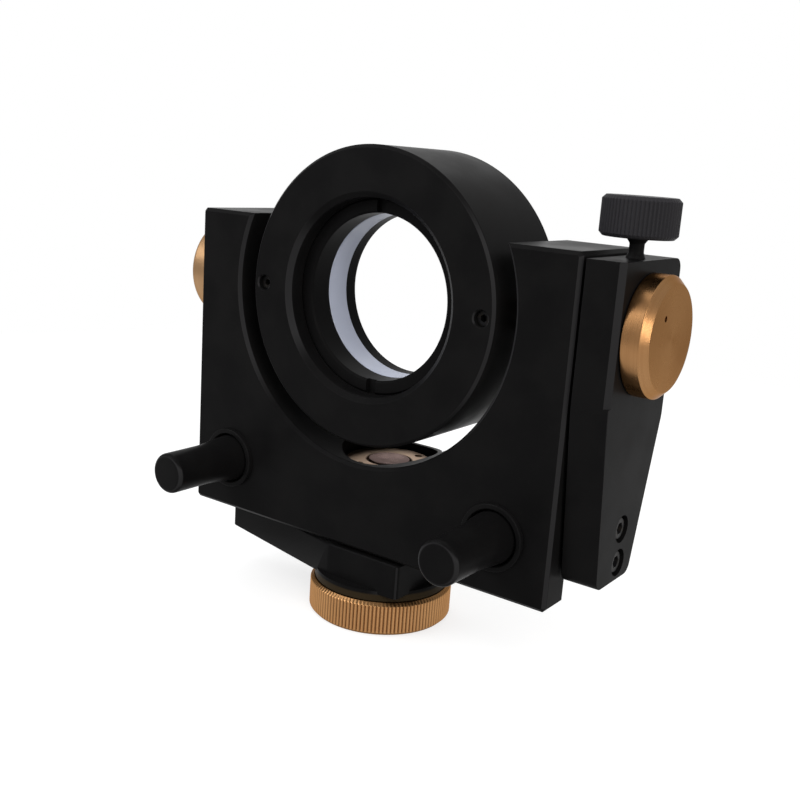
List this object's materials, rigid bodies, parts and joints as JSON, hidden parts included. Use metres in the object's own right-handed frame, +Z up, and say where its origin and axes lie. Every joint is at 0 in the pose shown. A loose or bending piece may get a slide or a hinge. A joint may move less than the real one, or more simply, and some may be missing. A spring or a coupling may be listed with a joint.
{
  "type": "gimbal mirror mount",
  "caption": "Gimbal mirror mount: a round cell on level trunnions in a U-shaped frame on an upright shaft, with coarse turns and fine tangent-arm drives about both axes.",
  "frame": {"origin": "the point where the level axis and the upright axis cross, in the middle of the cell's clear bore", "axes": "+X right along the level trunnions, seen from the front; +Y into the object along the optical axis, so the cell's front faces -Y; +Z up along the upright shaft"},
  "size_m": [0.1427, 0.061, 0.1296],
  "materials": {
    "black_anodised": "satin, black anodised",
    "black_knob": "satin, black anodised, turned",
    "bronze": "turned bronze",
    "steel": "turned steel",
    "black_steel": "blackened steel",
    "spring_steel": "bright wire",
    "white_nylon": "satin"
  },
  "bodies": {
    "root": {"upright_shaft": "steel"},
    "base_nut": {"base_knob": "bronze"},
    "yaw_arm": {"yaw_arm": "black_anodised", "yaw_foot": "black_anodised", "yaw_screws": "black_steel", "yaw_foot_pin": "spring_steel"},
    "frame": {"u_frame": "black_anodised", "bearing_disc": "bronze", "lower_bush": "bronze", "left_bearing": "bronze", "right_bush": "bronze", "pitch_collar": "black_knob", "yaw_collar": "black_knob", "frame_pins": "spring_steel", "pitch_spring": "spring_steel", "yaw_spring": "spring_steel"},
    "pitch_arm": {"pitch_arm": "black_anodised", "pitch_foot": "black_anodised", "pitch_screws": "black_steel", "pitch_foot_pin": "spring_steel"},
    "cell": {"cell_ring": "black_anodised", "retaining_ring": "black_anodised", "seat_ring": "white_nylon", "grub_screws": "black_steel", "left_trunnion": "steel", "right_trunnion": "steel", "trunnion_disc": "bronze"},
    "pad": {"pressure_pad": "bronze"},
    "thumb": {"thumb_screw": "black_knob"},
    "pitch_thrust": {"pitch_ball": "steel"},
    "pitch_adjuster": {"pitch_spindle": "steel", "pitch_knob": "black_knob"},
    "yaw_thrust": {"yaw_ball": "steel"},
    "yaw_adjuster": {"yaw_spindle": "steel", "yaw_knob": "black_knob"}
  },
  "joints": [
    {"name": "coarse_yaw", "type": "hinge", "parent": "root", "child": "yaw_arm", "pos_m": [0, 0, 0], "axis": [0, 0, 1], "continuous": true},
    {"name": "fine_yaw", "type": "hinge", "parent": "yaw_arm", "child": "frame", "pos_m": [0, 0, 0], "axis": [0, 0, 1], "range_deg": [-3.8, 3.8], "deforming": ["yaw_spring"]},
    {"name": "fine_pitch", "type": "hinge", "parent": "frame", "child": "pitch_arm", "pos_m": [0, 0, 0], "axis": [1, 0, 0], "range_deg": [-3.3, 3.3], "deforming": ["pitch_spring"]},
    {"name": "coarse_pitch", "type": "hinge", "parent": "pitch_arm", "child": "cell", "pos_m": [0, 0, 0], "axis": [1, 0, 0], "continuous": true},
    {"name": "base_turn", "type": "hinge", "parent": "root", "child": "base_nut", "pos_m": [0, 0, 0], "axis": [0, 0, -1], "range_deg": [0, 180]},
    {"name": "pad_lift", "type": "slide", "parent": "pitch_arm", "child": "pad", "axis": [0, 0, 1], "range_m": [0, 0.0007]},
    {"name": "thumb_turn", "type": "hinge", "parent": "pad", "child": "thumb", "pos_m": [0.06575, 0, 0], "axis": [0, 0, 1], "range_deg": [0, 360]},
    {"name": "pitch_travel", "type": "slide", "parent": "frame", "child": "pitch_thrust", "axis": [0, 1, 0], "range_m": [-0.003, 0.003]},
    {"name": "pitch_turn", "type": "hinge", "parent": "pitch_thrust", "child": "pitch_adjuster", "pos_m": [0.044, 0, -0.053], "axis": [0, 1, 0], "range_deg": [-1440, 1440]},
    {"name": "yaw_travel", "type": "slide", "parent": "frame", "child": "yaw_thrust", "axis": [0, 1, 0], "range_m": [-0.003, 0.003]},
    {"name": "yaw_turn", "type": "hinge", "parent": "yaw_thrust", "child": "yaw_adjuster", "pos_m": [-0.046, 0, -0.053], "axis": [0, 1, 0], "range_deg": [-1440, 1440]}
  ],
  "couplings": [
    {"joint": "thumb_turn", "follows": "pad_lift", "rad_per_m": 8976},
    {"joint": "pitch_turn", "follows": "pitch_travel", "rad_per_m": 8377.6},
    {"joint": "fine_pitch", "follows": "pitch_travel", "rad_per_m": 18.868},
    {"joint": "yaw_turn", "follows": "yaw_travel", "rad_per_m": 8377.6},
    {"joint": "fine_yaw", "follows": "yaw_travel", "rad_per_m": 21.739}
  ]
}
